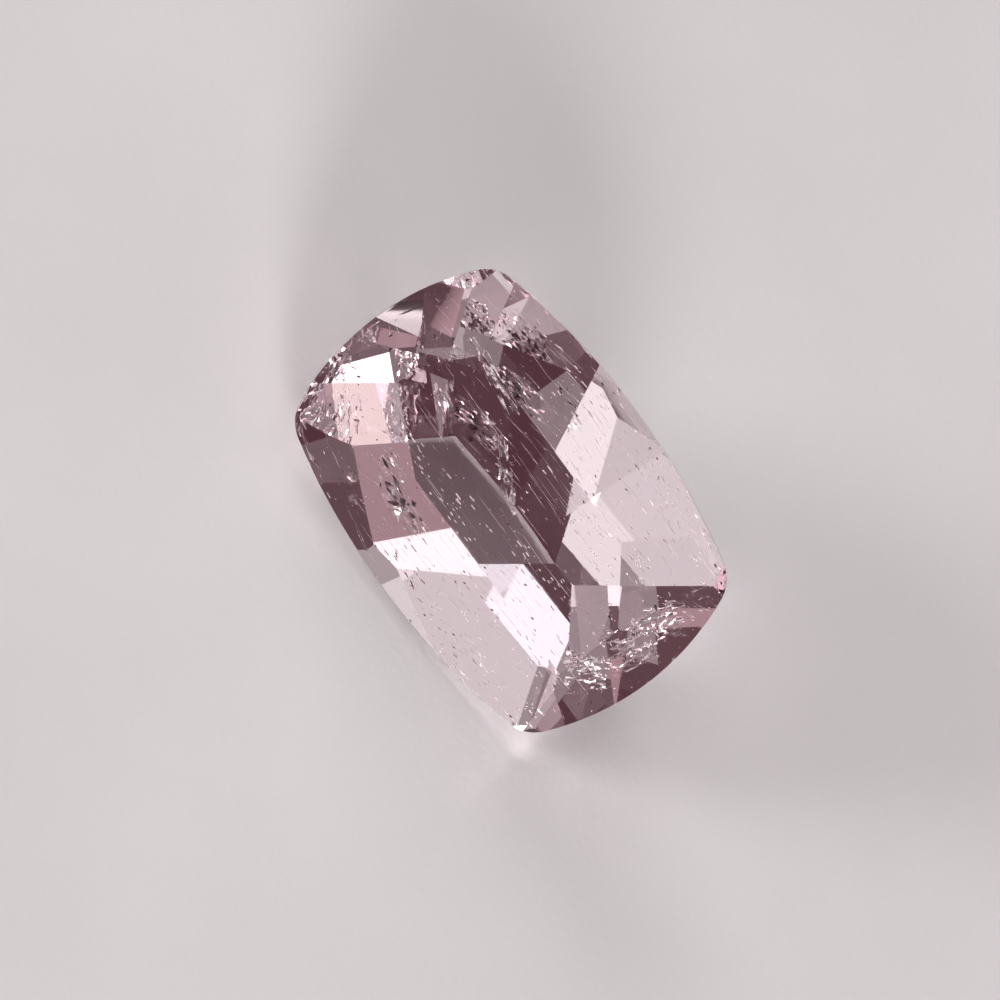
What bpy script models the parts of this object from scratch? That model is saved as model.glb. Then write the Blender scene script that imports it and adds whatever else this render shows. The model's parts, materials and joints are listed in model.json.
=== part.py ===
"""An elongated cushion-cut kunzite gemstone, resting on one long pavilion facet.

The stone is modelled with its table up and its length along X, as a gem cutter would draw it: a prism
with the girdle's outline, cut by one plane for each facet. Z is 0 at the top of the girdle. The stone is
then rolled about X until the middle facet below its near side lies on the ground, so that its table
faces up and towards -Y.

The cutting follows the rough and not a symmetrical plan, as on many large kunzites, so each facet has an
azimuth, a slope and a clearance of its own. The far side is towards +Y and the right end towards +X.
"""

import math
from collections import namedtuple

import bmesh
import bpy
import numpy as np
from mathutils import Matrix, Vector

MM = 0.001

# Outline of the girdle, seen from above the table
STONE_LENGTH = 14.7 * MM
STONE_WIDTH = 10.0 * MM
LONG_SIDE_RADIUS = 24.5 * MM
SHORT_SIDE_RADIUS = 9.0 * MM
CORNER_RADIUS = 1.3 * MM
LONG_SIDE_STEPS = 14
SHORT_SIDE_STEPS = 11
CORNER_STEPS = 12
GIRDLE_THICKNESS = 0.1 * MM

# Crown: the table's height above the girdle, and its four edges from the middle of the stone
TABLE_HEIGHT = 1.15 * MM
TABLE_RIGHT = 5.45 * MM
TABLE_LEFT = 5.2 * MM
TABLE_FAR = 2.2 * MM
TABLE_NEAR = 1.95 * MM

# Azimuth is in degrees from the right end towards the far side, and slope in degrees from the table's
# plane. Clearance is in millimetres: how far outside the outline the facet would meet the girdle
Facet = namedtuple("Facet", "azimuth slope clearance", defaults=(0.0,))

CROWN_CORNERS = (
    Facet(51, 19),
    Facet(154, 23),
    Facet(-116, 17.5),
    Facet(-26, 29.5, 0.45),
)

# Below the near side. The stone rests on the first
NEAR_SIDE = (
    Facet(-90, 40, 0.55),
    Facet(-81, 44),
    Facet(-87, 52),
    Facet(-100, 52.5),
    Facet(-109, 52),
)

# Below the far side: three broad facets that fan out from the keel
FAR_SIDE = (
    Facet(84, 40.5),
    Facet(88, 40.5),
    Facet(98, 39, 0.1),
)

# Below each end: two broad facets, and narrow ones that round the corners
RIGHT_END = (
    Facet(10, 46),
    Facet(-25, 47, 0.2),
    Facet(53, 54.5),
    Facet(-53, 60.5),
)
LEFT_END = (
    Facet(177, 47),
    Facet(-163, 43),
    Facet(156, 56.5),
)
PAVILION = NEAR_SIDE + FAR_SIDE + RIGHT_END + LEFT_END
RESTING_SLOPE = NEAR_SIDE[0].slope

# Corners of the cut nearer to each other than this are merged
FINEST_DETAIL = 0.005 * MM

# Colour of the clear lilac-pink stone
STONE_COLOUR = (0.80, 0.62, 0.66, 1.0)
STONE_ROUGHNESS = 0.02
STONE_IOR = 1.66


def clear_scene():
    for obj in list(bpy.data.objects):
        bpy.data.objects.remove(obj, do_unlink=True)


def arc(centre, radius, start, end, steps):
    """Points on a circle from the start angle up to, but not including, the end angle."""
    angles = np.linspace(start, end, steps, endpoint=False)
    return [Vector((centre.x + radius * math.cos(a), centre.y + radius * math.sin(a))) for a in angles]


def corner_centre(short_centre, long_centre):
    """Centre of the corner arc, which touches the short side's and the long side's arc from inside."""
    to_long = LONG_SIDE_RADIUS - CORNER_RADIUS
    to_short = SHORT_SIDE_RADIUS - CORNER_RADIUS
    line = short_centre - long_centre
    along = (line.length_squared + to_long**2 - to_short**2) / (2 * line.length)
    across = math.sqrt(to_long**2 - along**2)
    direction = line.normalized()
    foot = long_centre + direction * along
    sideways = Vector((-direction.y, direction.x))
    return max((foot + sideways * across, foot - sideways * across), key=lambda p: p.x + p.y)


def girdle_outline():
    """The cushion outline, anticlockwise, as three arcs in one quarter and their mirror images."""
    long_centre = Vector((0, STONE_WIDTH / 2 - LONG_SIDE_RADIUS))
    short_centre = Vector((STONE_LENGTH / 2 - SHORT_SIDE_RADIUS, 0))
    corner = corner_centre(short_centre, long_centre)
    at_short = math.atan2(corner.y - short_centre.y, corner.x - short_centre.x)
    at_long = math.atan2(corner.y - long_centre.y, corner.x - long_centre.x)
    quarter = arc(short_centre, SHORT_SIDE_RADIUS, 0, at_short, SHORT_SIDE_STEPS)
    quarter += arc(corner, CORNER_RADIUS, at_short, at_long, CORNER_STEPS)
    quarter += arc(long_centre, LONG_SIDE_RADIUS, at_long, math.pi / 2, LONG_SIDE_STEPS)
    top = Vector((0, STONE_WIDTH / 2))
    upper = quarter + [top] + [Vector((-p.x, p.y)) for p in reversed(quarter[1:])]
    return upper + [-p for p in upper]


def reach(outline, direction):
    """How far the outline extends in a level direction."""
    return max(p.dot(direction) for p in outline)


def plane(outline, facet, z, side):
    """A facet's point and outward normal. Side is 1 above the girdle and -1 below it."""
    turn = math.radians(facet.azimuth)
    lean = math.radians(facet.slope)
    level = Vector((math.cos(turn), math.sin(turn)))
    out = level * (reach(outline, level) + facet.clearance * MM)
    normal = (level * math.sin(lean)).to_3d() + Vector((0, 0, side * math.cos(lean)))
    return Vector((out.x, out.y, z)), normal


def crown_planes(outline):
    """The table, a facet down each side and end from its edge to the girdle, and one at each corner."""
    planes = [(Vector((0, 0, TABLE_HEIGHT)), Vector((0, 0, 1)))]
    half_length = STONE_LENGTH / 2
    half_width = STONE_WIDTH / 2
    edges = (
        (0, half_length - TABLE_RIGHT),
        (90, half_width - TABLE_FAR),
        (180, half_length - TABLE_LEFT),
        (-90, half_width - TABLE_NEAR),
    )
    for azimuth, run in edges:
        slope = math.degrees(math.atan2(TABLE_HEIGHT, run))
        planes.append(plane(outline, Facet(azimuth, slope, 0.0), 0, 1))
    return planes + [plane(outline, facet, 0, 1) for facet in CROWN_CORNERS]


def pavilion_planes(outline):
    return [plane(outline, facet, -GIRDLE_THICKNESS, -1) for facet in PAVILION]


def blank(outline):
    """The uncut prism: the girdle's outline, tall enough for the crown and the keel."""
    bm = bmesh.new()
    floor = bm.faces.new([bm.verts.new((p.x, p.y, -STONE_WIDTH)) for p in outline])
    made = bmesh.ops.extrude_face_region(bm, geom=[floor])
    top = [v for v in made["geom"] if isinstance(v, bmesh.types.BMVert)]
    bmesh.ops.translate(bm, verts=top, vec=(0, 0, 2 * STONE_WIDTH))
    bmesh.ops.recalc_face_normals(bm, faces=bm.faces)
    return bm


def cut(bm, point, normal):
    """Grinds away what lies outside one plane and closes the stone with a flat facet."""
    everything = bm.verts[:] + bm.edges[:] + bm.faces[:]
    made = bmesh.ops.bisect_plane(
        bm, geom=everything, dist=1e-7, plane_co=point, plane_no=normal, clear_outer=True
    )
    rim = [e for e in made["geom_cut"] if isinstance(e, bmesh.types.BMEdge) and e.is_boundary]
    if rim:
        bmesh.ops.edgeloop_fill(bm, edges=rim)


def stone_material():
    material = bpy.data.materials.new("kunzite")
    material.use_nodes = True
    shader = material.node_tree.nodes["Principled BSDF"]
    shader.inputs["Base Color"].default_value = STONE_COLOUR
    shader.inputs["Roughness"].default_value = STONE_ROUGHNESS
    shader.inputs["Metallic"].default_value = 0.0
    shader.inputs["IOR"].default_value = STONE_IOR
    shader.inputs["Transmission Weight"].default_value = 1.0
    return material


def lay_down(obj):
    """Rolls the stone onto its resting facet and puts the middle of its base on the origin."""
    roll = Matrix.Rotation(math.radians(RESTING_SLOPE), 4, "X")
    corners = np.array([roll @ v.co for v in obj.data.vertices])
    low = corners.min(axis=0)
    high = corners.max(axis=0)
    middle = (low + high) / 2
    obj.matrix_world = Matrix.Translation((-middle[0], -middle[1], -low[2])) @ roll


def main():
    clear_scene()
    outline = girdle_outline()
    bm = blank(outline)
    for point, normal in crown_planes(outline) + pavilion_planes(outline):
        cut(bm, point, normal)
    bmesh.ops.remove_doubles(bm, verts=bm.verts, dist=FINEST_DETAIL)
    bmesh.ops.recalc_face_normals(bm, faces=bm.faces)
    mesh = bpy.data.meshes.new("kunzite")
    bm.to_mesh(mesh)
    bm.free()
    mesh.materials.append(stone_material())
    stone = bpy.data.objects.new("kunzite", mesh)
    bpy.context.scene.collection.objects.link(stone)
    lay_down(stone)


main()
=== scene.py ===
"""A cut kunzite on a pale studio floor: its clear material, its inclusions, the lights and the camera.

Places inside the stone are given on the stone's own axes, in millimetres: x along its length, y across
it and z out of its table, with the origin in the middle of the girdle.
"""

import json
import math

import bpy
import numpy as np
from mathutils import Matrix, Vector
from mathutils import noise as noise_at


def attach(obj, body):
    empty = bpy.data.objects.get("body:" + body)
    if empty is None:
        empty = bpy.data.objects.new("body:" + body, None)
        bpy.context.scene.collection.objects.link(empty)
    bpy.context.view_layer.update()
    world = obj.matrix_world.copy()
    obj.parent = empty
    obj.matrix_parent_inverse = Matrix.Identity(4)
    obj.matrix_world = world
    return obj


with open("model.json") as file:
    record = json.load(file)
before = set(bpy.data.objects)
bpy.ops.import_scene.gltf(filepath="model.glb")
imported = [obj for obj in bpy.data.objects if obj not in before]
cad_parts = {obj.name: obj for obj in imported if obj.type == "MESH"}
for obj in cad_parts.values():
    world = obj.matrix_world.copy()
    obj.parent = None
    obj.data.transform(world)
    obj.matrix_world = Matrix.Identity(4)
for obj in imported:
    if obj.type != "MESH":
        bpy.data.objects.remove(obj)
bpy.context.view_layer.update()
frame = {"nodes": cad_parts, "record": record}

MM = 0.001
STONE = frame["nodes"]["kunzite"]

# The stone's height from the girdle to the table
CROWN_HEIGHT = 1.15

# The photograph's view: how far the camera leans off the table's normal, and how the stone is turned
LEAN_ALONG = 1.5
LEAN_ACROSS = 6.0
TURN_IN_VIEW = 53.4
STONE_LENGTH = 14.7
LENGTH_IN_PIXELS = 456.0
IMAGE_SIZE = 1000.0
STONE_CENTRE_IN_PIXELS = (510.6, 500.6)
SENSOR_WIDTH = 36.0

# In metres
CAMERA_DISTANCE = 0.5
NEAREST_SEEN = 0.01

# A distance in millimetres that is well outside the stone
OUTSIDE = 50.0

# Clear lilac-pink spodumene. The density is in 1/m, so light loses its green over a few centimetres
STONE_IOR = 1.664
STONE_TINT = (1.0, 0.985, 0.99, 1.0)
POLISH_WEAR = 0.06
ABSORPTION_COLOUR = (0.92, 0.30, 0.50, 1.0)
ABSORPTION_DENSITY = 13.0

# The other materials, each from its darkest to its lightest tone
CLEAR = (1.0, 1.0, 1.0, 1.0)
TUBE_ROUGHNESS = 0.05
FEATHER_ROUGHNESS = 0.12
PALE_INCLUSION = ((0.90, 0.87, 0.88, 1.0), (0.98, 0.97, 0.97, 1.0))
PALE_ROUGHNESS = 0.35
# The dark tones colour real mineral grains, and the slivers where they paint dark reflections
DARK_GRAIN_AND_PAINTED_REFLECTION = ((0.02, 0.012, 0.015, 1.0), (0.10, 0.06, 0.07, 1.0))
DARK_ROUGHNESS = 0.4
PAPER = ((0.37, 0.357, 0.36, 1.0), (0.40, 0.387, 0.39, 1.0))
PAPER_ROUGHNESS = 0.9
PAPER_SPECULAR = 0.2
PAPER_BUMP = 0.08
PAPER_TOOTH_HEIGHT = 0.1 * MM

# Sizes of the materials' patterns, in noise cells to a metre
POLISH_PATTERN = 900.0
PAPER_PATTERN = 60.0
PAPER_TOOTH_PATTERN = 4000.0
INCLUSION_PATTERN = 3000.0

# What grew inside the stone. Sizes are in millimetres. A scatter is how far the directions stray from the
# stone's length, and a slenderness is a length in radii. The logarithms of the tubes' lengths have a mean
# and a spread
SEED = 7
INCLUSION_MARGIN = 0.05
TUBE_SIDES = 5
GRAIN_SIDES = 6
TAPER_START = 0.3
TUBE_COUNT = 50
TUBE_RADII = (0.005, 0.012)
TUBE_LENGTH = 0.12
TUBE_LENGTH_LOGARITHM = (0.6, 0.7)
LONGEST_TUBE = 2.4
NEEDLE_COUNT = 55
NEEDLE_RADII = (0.003, 0.006)
NEEDLE_LENGTHS = (0.4, 2.2)
TUBE_SCATTER = 0.02
DUST_COUNT = 70
DUST_RADII = (0.008, 0.018)
DUST_SLENDERNESS = 2.5
DUST_SCATTER = 0.3
GRAIN_COUNT = 12
GRAIN_RADII = (0.018, 0.034)
GRAIN_SLENDERNESS = 5
GRAIN_SCATTER = 0.2

# Bright dashes, and the dark slivers that paint dark reflections, lie in groups. Each group has a middle
# and a spread, across and up as it shows in the picture of the stone turned level, and a count. Slivers
# also have a range of lengths
DASH_RADII = (0.010, 0.024)
DASH_SLENDERNESS = (4, 14)
DASH_SCATTER = 0.05
DASH_DEPTHS = (0.3, 2.6)
DASH_FIELDS = (
    ((1.5, -0.75), (0.50, 0.20), 18),
    ((-0.9, -1.6), (0.90, 0.40), 32),
    ((-3.7, -1.6), (0.55, 0.25), 16),
    ((3.9, -3.1), (1.40, 0.80), 40),
    ((2.2, 1.5), (1.20, 0.50), 26),
    ((-2.0, 3.3), (1.00, 0.40), 12),
    ((6.0, 0.6), (0.40, 1.20), 26),
)
SLIVER_DEPTHS = (0.15, 1.0)
SLIVER_SCATTER = 0.25
SLIVER_SIDES = 4
SLIVER_REACH = (0.3, 1.0)
SLIVER_WIDTH = 0.42
SLIVER_THICKNESS = 0.01
# Where the dark slivers go: each group is a painted dark reflection
PAINTED_REFLECTION_FIELDS = (
    ((-3.4, 2.1), (0.50, 0.14), 10, (0.15, 0.50)),
    ((-2.1, 3.4), (0.35, 0.10), 5, (0.20, 0.60)),
    ((-2.3, -2.8), (0.60, 0.14), 30, (0.30, 0.90)),
    ((-0.6, 0.6), (0.50, 0.25), 10, (0.10, 0.30)),
    ((5.6, 1.0), (0.35, 0.80), 10, (0.15, 0.40)),
)

# Healed cracks are made of small plates. Waves and ripples lift them, a slide shifts them in their own
# plane, and gaps leave some out. Each pattern is given in noise cells to a millimetre or to a plate
PLATE_LENGTH = 0.17
PLATE_WIDTH = 0.08
VEIL_THICKNESS = 0.004
WAVE_PATTERN = (2.2, 4.5)
RIPPLE_PATTERN = 3.1
RIPPLE_HEIGHT = 0.35
SLIDE_PATTERN = 9.7
SLIDE_REACH = 0.6
GAP_PATTERN = (0.45, 0.60)
GAP_LEVEL = 1.7
FULLER_MIDDLE = 0.6
WAVE_SEED_STEP = 7
GAP_SEED_STEP = 5

# Each one as it shows in the picture of the stone turned level: the middle across, up and in, length and
# width, the turn in the picture, the lean away from it, the waves' height and how many gaps
VEILS = {
    "wavy_feather": ((-0.75, 0.35, 1.2), (2.6, 0.5), -28, 35, 0.22, 0.10),
    "lower_feather": ((-2.35, -2.85, 0.7), (3.0, 0.9), -14, 25, 0.16, 0.12),
    "upper_feather": ((-3.4, 2.0, 0.8), (3.0, 0.5), -6, 40, 0.16, 0.12),
    "end_feather_1": ((6.0, 1.6, 0.7), (1.5, 1.3), 60, 20, 0.20, 0.10),
    "end_feather_2": ((6.2, 0.2, 1.0), (1.5, 1.5), 75, -25, 0.22, 0.10),
    "end_feather_3": ((5.9, -1.3, 0.7), (1.4, 1.2), 40, 30, 0.20, 0.10),
}

# Soft boxes that the stone mirrors: direction on the stone's axes, half angle, brightness and colour.
# They all stand at one distance, in metres
LIGHT_DISTANCE = 0.7
WHITE = (1.0, 0.99, 0.99)
ROSE = (1.0, 0.70, 0.75)
COOL = (0.80, 0.84, 1.0)
PEACH = (1.0, 0.74, 0.62)
SOFTBOXES = (
    ((-0.23, 0.96, 0.18), 26, 0.38, WHITE),
    ((-0.78, 0.02, 0.62), 24, 0.20, WHITE),
    ((0.62, -0.53, 0.58), 22, 1.50, ROSE),
    ((0.05, 0.31, 0.95), 19, 0.04, WHITE),
    ((-0.26, 0.88, 0.40), 18, 0.36, WHITE),
    ((-0.50, -0.03, 0.86), 18, 0.08, WHITE),
    ((0.25, 0.87, -0.43), 18, 0.09, WHITE),
    ((-0.32, 0.14, 0.94), 17, 0.34, WHITE),
    ((-0.63, 0.48, 0.61), 15, 0.24, WHITE),
    ((0.72, 0.60, -0.34), 15, 0.60, WHITE),
    ((-0.35, 0.01, 0.94), 13, 0.22, WHITE),
    ((0.23, -0.55, 0.80), 13, 0.17, WHITE),
    ((0.44, -0.15, 0.88), 9, 0.18, WHITE),
    ((0.30, -0.02, 0.95), 9, 0.18, WHITE),
    ((-0.42, 0.27, 0.87), 7, 0.24, WHITE),
    ((0.18, 0.28, 0.94), 7, 0.28, ROSE),
    ((-0.19, 0.51, 0.84), 7, 0.20, WHITE),
    ((-0.09, 0.08, 0.99), 5, 0.55, WHITE),
    ((-0.03, 0.14, 0.99), 4, 0.26, WHITE),
    ((-0.40, 0.15, 0.90), 4, 0.30, COOL),
    ((-0.41, 0.01, 0.91), 4, 0.20, WHITE),
    ((-0.21, -0.02, 0.98), 4, 1.20, WHITE),
    ((-0.22, 0.07, 0.97), 4, 0.36, PEACH),
)

# The hard lights stand where the photograph's view sees almost nothing of them in the stone, and light
# what is inside it. The fill lights the paper, and the stone doesn't mirror it
HARD_LIGHTS = (
    ((-0.81, 0.58, -0.07), 14, 13.0, WHITE),
    ((0.69, -0.30, 0.66), 9, 48.0, WHITE),
    ((-0.72, -0.33, 0.60), 11, 32.0, WHITE),
)
FLOOR_FILL = ((0.0, 0.64, 0.77), 35, 1.5, WHITE)
ROOM_COLOUR = (0.085, 0.037, 0.047, 1.0)

# In metres
FLOOR_HALF_SIZE = 2.0
FLOOR_GAP = 0.03 * MM

# Light passes many facets before it leaves the stone
BOUNCES_IN_STONE = 24
MIRROR_BOUNCES = 12


def stone_axes():
    """The stone's own axes in the frame, from the record's table mount. Its units are millimetres."""
    table = next(m for m in frame["record"]["mounts"] if m["name"] == "table")
    out = Vector(table["axis"]).normalized()
    along = Vector((1, 0, 0))
    across = out.cross(along)
    turned = Matrix((along, across, out)).transposed().to_4x4()
    girdle = Vector(table["pos_m"]) - out * CROWN_HEIGHT * MM
    return Matrix.Translation(girdle) @ turned @ Matrix.Scale(MM, 4)


TO_WORLD = stone_axes()
AXES = TO_WORLD.to_3x3().normalized()


def facet_planes():
    """Each facet's outward normal and distance, on the stone's own axes, in millimetres."""
    to_stone = TO_WORLD.inverted()
    turn = AXES.transposed()
    planes = []
    for face in STONE.data.polygons:
        normal = turn @ face.normal
        planes.append((*normal, normal.dot(to_stone @ face.center)))
    return np.array(planes)


def view_axes():
    """Towards the camera, along the stone as seen, and across it as seen, on the stone's own axes."""
    back = np.array((math.sin(math.radians(LEAN_ALONG)), math.sin(math.radians(LEAN_ACROSS)), 0))
    back[2] = math.sqrt(1 - back @ back)
    level = np.array((1, 0, 0)) - back * back[0]
    level /= np.linalg.norm(level)
    return back, level, np.cross(back, level)


PLANES = facet_planes()
VIEW_AXES = view_axes()
CORNERS = np.array([TO_WORLD.inverted() @ v.co for v in STONE.data.vertices])
STONE_LOW, STONE_HIGH = CORNERS.min(axis=0), CORNERS.max(axis=0)


def depth_inside(points):
    """How far each point is below the stone's nearest facet, negative outside."""
    points = np.atleast_2d(points)
    return (PLANES[:, 3] - points @ PLANES[:, :3].T).min(axis=1)


def new_material(name):
    material = bpy.data.materials.new(name)
    material.use_nodes = True
    tree = material.node_tree
    return material, tree, tree.nodes["Principled BSDF"]


def noise(tree, scale, detail):
    """A noise value that depends on the place in the frame."""
    made = tree.nodes.new("ShaderNodeTexNoise")
    made.inputs["Scale"].default_value = scale
    made.inputs["Detail"].default_value = detail
    place = tree.nodes.new("ShaderNodeNewGeometry")
    tree.links.new(place.outputs["Position"], made.inputs["Vector"])
    return made.outputs["Fac"]


def ramp(tree, source, places, tones):
    """A colour that runs from the first tone to the second while source runs between the two places."""
    made = tree.nodes.new("ShaderNodeValToRGB")
    for element, place, tone in zip(made.color_ramp.elements, places, tones):
        element.position = place
        element.color = tone
    tree.links.new(source, made.inputs["Fac"])
    return made.outputs["Color"]


def spread(tree, source, low, high, start=0.0):
    """Maps a value between start and 1 onto low to high."""
    made = tree.nodes.new("ShaderNodeMapRange")
    made.inputs["From Min"].default_value = start
    made.inputs["To Min"].default_value = low
    made.inputs["To Max"].default_value = high
    tree.links.new(source, made.inputs["Value"])
    return made.outputs["Result"]


def kunzite_material():
    """Polished clear stone: plain refraction and absorption, with faint polish marks in its roughness."""
    material, tree, shader = new_material("kunzite_clear")
    shader.inputs["Base Color"].default_value = STONE_TINT
    shader.inputs["IOR"].default_value = STONE_IOR
    shader.inputs["Transmission Weight"].default_value = 1.0
    haze = noise(tree, POLISH_PATTERN, 4.0)
    worn = spread(tree, haze, 0.0, POLISH_WEAR, start=0.6)
    tree.links.new(worn, shader.inputs["Roughness"])
    inside = tree.nodes.new("ShaderNodeVolumeAbsorption")
    inside.inputs["Color"].default_value = ABSORPTION_COLOUR
    inside.inputs["Density"].default_value = ABSORPTION_DENSITY
    output = tree.nodes["Material Output"]
    tree.links.new(inside.outputs["Volume"], output.inputs["Volume"])
    return material


def floor_material():
    """Pale matt paper, with a little uneven tone and a fine tooth."""
    material, tree, shader = new_material("pale_paper")
    tone = noise(tree, PAPER_PATTERN, 4.0)
    shades = ramp(tree, tone, (0.3, 0.7), PAPER)
    tree.links.new(shades, shader.inputs["Base Color"])
    shader.inputs["Roughness"].default_value = PAPER_ROUGHNESS
    shader.inputs["Specular IOR Level"].default_value = PAPER_SPECULAR
    tooth = noise(tree, PAPER_TOOTH_PATTERN, 2.0)
    bump = tree.nodes.new("ShaderNodeBump")
    bump.inputs["Strength"].default_value = PAPER_BUMP
    bump.inputs["Distance"].default_value = PAPER_TOOTH_HEIGHT
    tree.links.new(tooth, bump.inputs["Height"])
    tree.links.new(bump.outputs["Normal"], shader.inputs["Normal"])
    return material


def inclusion_material(name, tones, roughness):
    """A solid mineral, a little uneven in tone. The dark one also colours the slivers that paint dark
    reflections.
    """
    material, tree, shader = new_material(name)
    tone = noise(tree, INCLUSION_PATTERN, 2.0)
    shades = ramp(tree, tone, (0.35, 0.65), tones)
    tree.links.new(shades, shader.inputs["Base Color"])
    shader.inputs["Roughness"].default_value = roughness
    return material


def hollow_material(name, roughness):
    """The walls of a hollow, which face into it: plain refraction between the stone and air."""
    material, tree, shader = new_material(name)
    shader.inputs["Base Color"].default_value = CLEAR
    shader.inputs["IOR"].default_value = STONE_IOR
    shader.inputs["Transmission Weight"].default_value = 1.0
    haze = noise(tree, INCLUSION_PATTERN, 2.0)
    tree.links.new(spread(tree, haze, 0.0, roughness), shader.inputs["Roughness"])
    return material


def add_mesh(name, points, faces, material):
    """A mesh from points on the stone's axes, placed in the frame and riding with the stone."""
    mesh = bpy.data.meshes.new(name)
    mesh.from_pydata([TO_WORLD @ Vector(p) for p in points], [], faces)
    mesh.materials.append(material)
    obj = bpy.data.objects.new(name, mesh)
    bpy.context.scene.collection.objects.link(obj)
    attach(obj, "root")
    return obj


class Cluster:
    """Small closed forms collected into one mesh, on the stone's axes."""

    def __init__(self, hollow=False):
        self.points = []
        self.faces = []
        self.hollow = hollow

    def add(self, points, faces):
        """Adds one form if all of it is inside the stone."""
        if depth_inside(points).min() < INCLUSION_MARGIN:
            return
        start = len(self.points)
        self.points.extend(map(tuple, points))
        turned = reversed if self.hollow else tuple
        self.faces.extend(tuple(start + i for i in turned(face)) for face in faces)

    def build(self, name, material):
        add_mesh(name, self.points, self.faces, material)


def any_square(axis):
    """Two unit vectors square to the axis and to each other."""
    helper = np.array((0.0, 0.0, 1.0)) if abs(axis[2]) < 0.9 else np.array((0.0, 1.0, 0.0))
    first = np.cross(axis, helper)
    first /= np.linalg.norm(first)
    return first, np.cross(axis, first)


def tube(centre, axis, length, radius, sides=TUBE_SIDES):
    """A thin closed tube that tapers to a point at both ends."""
    first, second = any_square(axis)
    turns = np.linspace(0, 2 * math.pi, sides, endpoint=False)
    ring = np.outer(np.cos(turns), first) + np.outer(np.sin(turns), second)
    rings = [centre + axis * length * at + ring * radius for at in (-TAPER_START, TAPER_START)]
    tips = [centre - axis * length / 2, centre + axis * length / 2]
    points = np.vstack(rings + tips)
    faces = []
    for i in range(sides):
        j = (i + 1) % sides
        faces.append((i, j, sides + j, sides + i))
        faces.append((j, i, 2 * sides))
        faces.append((sides + i, sides + j, 2 * sides + 1))
    return points, faces


def sliver(rng, centre, axis, length):
    """A thin closed chip with an uneven rim, longest along the axis."""
    first, second = any_square(axis)
    roll = rng.uniform(0, math.pi)
    side = first * math.cos(roll) + second * math.sin(roll)
    out = np.cross(axis, side)
    turns = np.linspace(0, 2 * math.pi, SLIVER_SIDES, endpoint=False)
    reach = rng.uniform(*SLIVER_REACH, SLIVER_SIDES)[:, None] * length / 2
    flat = np.outer(np.cos(turns), axis) + np.outer(np.sin(turns), side) * SLIVER_WIDTH
    tips = [centre + out * SLIVER_THICKNESS, centre - out * SLIVER_THICKNESS]
    points = np.vstack([centre + flat * reach, tips])
    faces = []
    for i in range(SLIVER_SIDES):
        j = (i + 1) % SLIVER_SIDES
        faces.append((i, j, SLIVER_SIDES))
        faces.append((j, i, SLIVER_SIDES + 1))
    return points, faces


def seen_at(x, y, depth):
    """The point at a depth in millimetres on the line of sight that meets the stone at x, y in the picture.

    x runs along the stone and y across it, both in millimetres from its middle.
    """
    back, level, across = VIEW_AXES
    start = level * x + across * y + back * OUTSIDE
    away = -back
    facing = PLANES[:, :3] @ away
    entering = facing < -1e-6
    reach = (PLANES[entering, 3] - PLANES[entering, :3] @ start) / facing[entering]
    first = reach.argmax()
    normal = PLANES[entering, :3][first]
    cosine = -normal @ away
    ratio = 1 / STONE_IOR
    bend = ratio * cosine - math.sqrt(1 - ratio**2 * (1 - cosine**2))
    inward = away * ratio + normal * bend
    return start + away * reach[first] + inward * depth


def near_length(rng, scatter):
    """A direction close to the stone's length, which is how the crystal grew."""
    axis = np.array((1.0, 0.0, 0.0)) + rng.normal(0, scatter, 3)
    return axis / np.linalg.norm(axis)


def in_stone(rng):
    """A random point inside the stone."""
    while True:
        point = rng.uniform(STONE_LOW, STONE_HIGH)
        if depth_inside(point)[0] > 2 * INCLUSION_MARGIN:
            return point


def add_growth_tubes(rng, material):
    """Fine hollow tubes along the crystal's length, which show as bright streaks."""
    cluster = Cluster(hollow=True)
    for _ in range(TUBE_COUNT):
        length = min(TUBE_LENGTH * math.exp(rng.normal(*TUBE_LENGTH_LOGARITHM)), LONGEST_TUBE)
        radius = rng.uniform(*TUBE_RADII)
        cluster.add(*tube(in_stone(rng), near_length(rng, TUBE_SCATTER), length, radius))
    cluster.build("growth_tubes", material)


def add_needles(rng, material):
    """Long fine pale needles along the crystal's length."""
    cluster = Cluster()
    for _ in range(NEEDLE_COUNT):
        length = rng.uniform(*NEEDLE_LENGTHS)
        radius = rng.uniform(*NEEDLE_RADII)
        cluster.add(*tube(in_stone(rng), near_length(rng, TUBE_SCATTER), length, radius))
    cluster.build("needles", material)


def in_field(rng, middle, spreads, count, depths):
    """Random points in a group, from its middle and spread in the picture and its range of depths."""
    (x, y), (along, across) = middle, spreads
    for _ in range(count):
        yield seen_at(rng.normal(x, along), rng.normal(y, across), rng.uniform(*depths))


def add_dashes(rng, material):
    """Bright broken tubes along the crystal's length, in groups."""
    cluster = Cluster()
    for field in DASH_FIELDS:
        for place in in_field(rng, *field, DASH_DEPTHS):
            radius = rng.uniform(*DASH_RADII)
            axis = near_length(rng, DASH_SCATTER)
            length = radius * rng.uniform(*DASH_SLENDERNESS)
            cluster.add(*tube(place, axis, length, radius, GRAIN_SIDES))
    cluster.build("bright_dashes", material)


def add_painted_reflection_slivers(rng, material):
    """Dark slivers in groups near the cracks: dark flakes that paint the stone's dark reflections."""
    cluster = Cluster()
    for middle, spreads, count, lengths in PAINTED_REFLECTION_FIELDS:
        for place in in_field(rng, middle, spreads, count, SLIVER_DEPTHS):
            cluster.add(*sliver(rng, place, near_length(rng, SLIVER_SCATTER), rng.uniform(*lengths)))
    cluster.build("painted_dark_reflections", material)


def add_dust(rng, material):
    """Tiny pale specks."""
    cluster = Cluster()
    for _ in range(DUST_COUNT):
        radius = rng.uniform(*DUST_RADII)
        place = in_stone(rng)
        axis = near_length(rng, DUST_SCATTER)
        cluster.add(*tube(place, axis, DUST_SLENDERNESS * radius, radius, GRAIN_SIDES))
    cluster.build("pale_dust", material)


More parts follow.
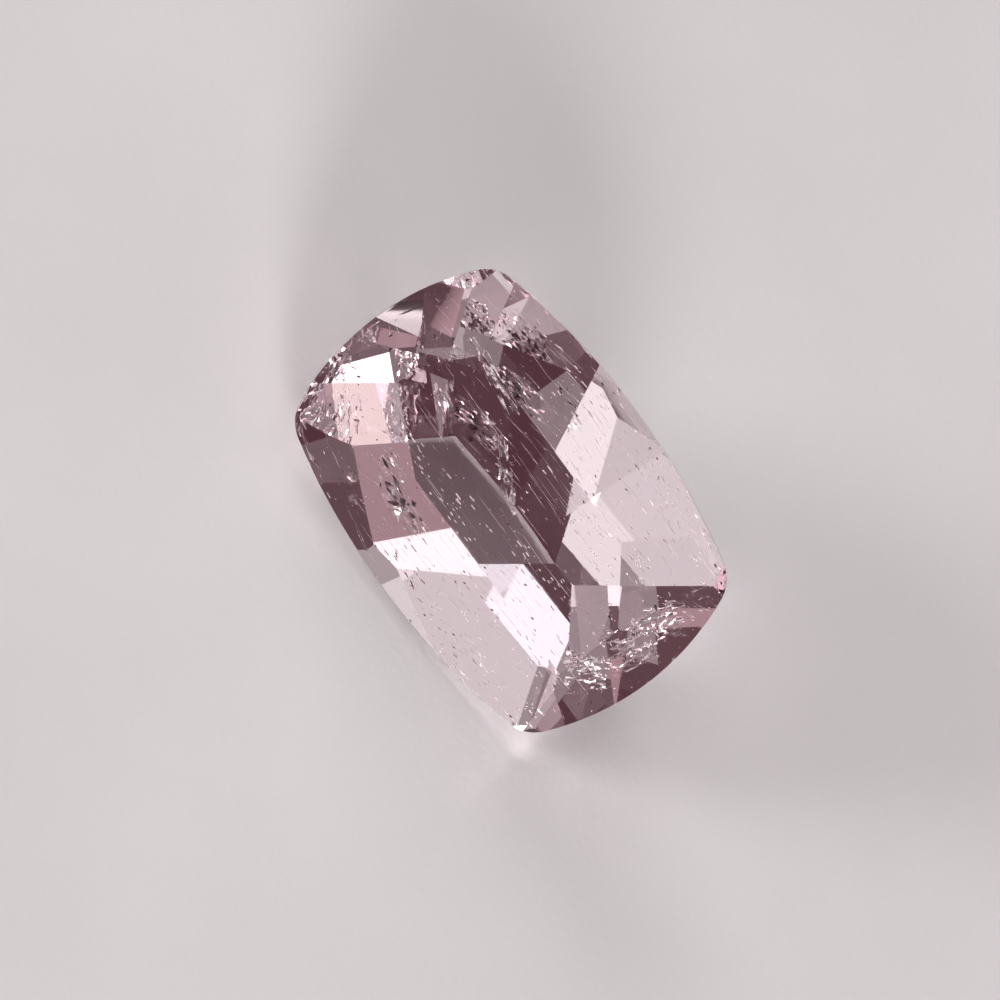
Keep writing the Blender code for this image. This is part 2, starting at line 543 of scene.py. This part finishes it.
def add_grains(rng, material):
    """A few dark mineral grains."""
    cluster = Cluster()
    for _ in range(GRAIN_COUNT):
        radius = rng.uniform(*GRAIN_RADII)
        place = in_stone(rng)
        axis = near_length(rng, GRAIN_SCATTER)
        cluster.add(*tube(place, axis, GRAIN_SLENDERNESS * radius, radius, GRAIN_SIDES))
    cluster.build("dark_grains", material)


def veil_axes(turn, lean):
    """A crack's own axes from its turn in the picture and its lean: along it, across it and out of it."""
    back, level, across = VIEW_AXES
    turn, lean = math.radians(turn), math.radians(lean)
    along = level * math.cos(turn) + across * math.sin(turn)
    side = across * math.cos(turn) - level * math.sin(turn)
    side = side * math.cos(lean) + back * math.sin(lean)
    return along, side, np.cross(along, side)


def veil_points(veil, columns, rows):
    """The corners of a crack's plates, row by row, lifted by waves and shifted in its plane."""
    (x, y, depth), (length, width), turn, lean, wave, _ = veil
    along, side, out = veil_axes(turn, lean)
    middle = seen_at(x, y, depth)
    points = []
    for i in range(columns + 1):
        for j in range(rows + 1):
            u = (i / columns - 0.5) * length
            v = (j / rows - 0.5) * width
            along_pattern = u * WAVE_PATTERN[0] + x * WAVE_SEED_STEP
            across_pattern = v * WAVE_PATTERN[1] + y * WAVE_SEED_STEP
            place = Vector((along_pattern, across_pattern, 0))
            lift = wave * noise_at.noise(place)
            lift += RIPPLE_HEIGHT * wave * noise_at.noise(place * RIPPLE_PATTERN)
            slide = noise_at.noise(place * SLIDE_PATTERN)
            shift = along * PLATE_LENGTH * slide - side * PLATE_WIDTH * slide
            points.append(middle + along * u + side * v + shift * SLIDE_REACH + out * lift)
    return points


def veil_faces(veil, points, columns, rows):
    """A crack's plates that lie inside the stone and outside its gaps, which are fewer in its middle."""
    x, y, _ = veil[0]
    gaps = veil[-1]
    inside = depth_inside(points) > INCLUSION_MARGIN
    faces = []
    for i in range(columns):
        for j in range(rows):
            corner = i * (rows + 1) + j
            face = (corner, corner + rows + 1, corner + rows + 2, corner + 1)
            along_gaps = i * GAP_PATTERN[0] + x * GAP_SEED_STEP
            across_gaps = j * GAP_PATTERN[1] + y * GAP_SEED_STEP
            spot = Vector((along_gaps, across_gaps, GAP_LEVEL))
            from_rim = 1 - max(abs(2 * i / columns - 1), abs(2 * j / rows - 1))
            filled = noise_at.noise(spot) + FULLER_MIDDLE * from_rim > gaps
            if filled and all(inside[k] for k in face):
                faces.append(face)
    return faces


def add_veil(name, veil, material):
    """A healed crack: a thin wavy film of air in small plates, with gaps between them."""
    length, width = veil[1]
    columns = int(length / PLATE_LENGTH)
    rows = int(width / PLATE_WIDTH)
    points = veil_points(veil, columns, rows)
    faces = veil_faces(veil, points, columns, rows)
    used = sorted({k for face in faces for k in face})
    new = {k: n for n, k in enumerate(used)}
    faces = [tuple(new[k] for k in face) for face in faces]
    obj = add_mesh(name, [points[k] for k in used], faces, material)
    thick = obj.modifiers.new("thickness", "SOLIDIFY")
    thick.thickness = VEIL_THICKNESS * MM
    thick.use_flip_normals = True


def add_floor():
    """Paper under the stone. Its tooth keeps a thin gap of air below the resting facet."""
    size = FLOOR_HALF_SIZE
    corners = [(x * size, y * size, -FLOOR_GAP) for x, y in ((-1, -1), (1, -1), (1, 1), (-1, 1))]
    mesh = bpy.data.meshes.new("floor")
    mesh.from_pydata(corners, [], [(0, 1, 2, 3)])
    mesh.materials.append(floor_material())
    obj = bpy.data.objects.new("floor", mesh)
    bpy.context.scene.collection.objects.link(obj)


def add_camera():
    """A long lens looking almost straight into the table, turned as the photograph is."""
    back, level, across = (AXES @ Vector(axis) for axis in VIEW_AXES)
    turn = math.radians(TURN_IN_VIEW)
    right = level * math.cos(turn) + across * math.sin(turn)
    up = back.cross(right)
    width = STONE_LENGTH * MM * IMAGE_SIZE / LENGTH_IN_PIXELS
    pixel = width / IMAGE_SIZE
    offset_x = (IMAGE_SIZE / 2 - STONE_CENTRE_IN_PIXELS[0]) * pixel
    offset_y = (STONE_CENTRE_IN_PIXELS[1] - IMAGE_SIZE / 2) * pixel
    target = TO_WORLD.translation + right * offset_x + up * offset_y
    data = bpy.data.cameras.new("camera")
    data.sensor_width = SENSOR_WIDTH
    data.lens = SENSOR_WIDTH * CAMERA_DISTANCE / width
    data.clip_start = NEAREST_SEEN
    camera = bpy.data.objects.new("camera", data)
    turned = Matrix((right, up, back)).transposed().to_4x4()
    camera.matrix_world = Matrix.Translation(target + back * CAMERA_DISTANCE) @ turned
    bpy.context.scene.collection.objects.link(camera)
    bpy.context.scene.camera = camera


def softbox(name, direction, half_angle, radiance, colour):
    """A round softbox, placed by a direction on the stone's axes and the half angle it fills from there."""
    radius = LIGHT_DISTANCE * math.tan(math.radians(half_angle))
    data = bpy.data.lights.new(name, "AREA")
    data.shape = "DISK"
    data.size = 2 * radius
    data.energy = radiance * math.pi * math.pi * radius**2
    data.color = colour
    obj = bpy.data.objects.new(name, data)
    towards = (AXES @ Vector(direction)).normalized()
    obj.location = TO_WORLD.translation + towards * LIGHT_DISTANCE
    obj.rotation_euler = towards.to_track_quat("Z", "Y").to_euler()
    bpy.context.scene.collection.objects.link(obj)
    return obj


def add_lights():
    """Soft boxes and hard lights round the stone, and a fill that the stone doesn't mirror."""
    for number, box in enumerate(SOFTBOXES + HARD_LIGHTS):
        softbox(f"softbox_{number}", *box)
    fill = softbox("floor_fill", *FLOOR_FILL)
    fill.visible_glossy = False
    fill.visible_transmission = False


def add_world():
    """A dim mauve room."""
    world = bpy.data.worlds.new("room")
    world.use_nodes = True
    world.node_tree.nodes["Background"].inputs["Color"].default_value = ROOM_COLOUR
    bpy.context.scene.world = world


def set_render():
    scene = bpy.context.scene
    scene.view_settings.view_transform = "Standard"
    scene.cycles.max_bounces = BOUNCES_IN_STONE
    scene.cycles.transmission_bounces = BOUNCES_IN_STONE
    scene.cycles.glossy_bounces = MIRROR_BOUNCES
    scene.cycles.blur_glossy = 0.0


def main():
    STONE.data.materials.clear()
    STONE.data.materials.append(kunzite_material())
    rng = np.random.default_rng(SEED)
    pale = inclusion_material("pale_inclusion", PALE_INCLUSION, PALE_ROUGHNESS)
    dark = inclusion_material("dark_grain_and_painted_reflection", DARK_GRAIN_AND_PAINTED_REFLECTION, DARK_ROUGHNESS)
    film = hollow_material("feather", FEATHER_ROUGHNESS)
    add_growth_tubes(rng, hollow_material("hollow_tube", TUBE_ROUGHNESS))
    add_needles(rng, pale)
    add_dashes(rng, pale)
    add_dust(rng, pale)
    # Dark slivers as painted dark reflections
    add_painted_reflection_slivers(rng, dark)
    add_grains(rng, dark)
    for name, veil in VEILS.items():
        add_veil(name, veil, film)
    add_floor()
    add_camera()
    add_lights()
    add_world()
    set_render()


main()
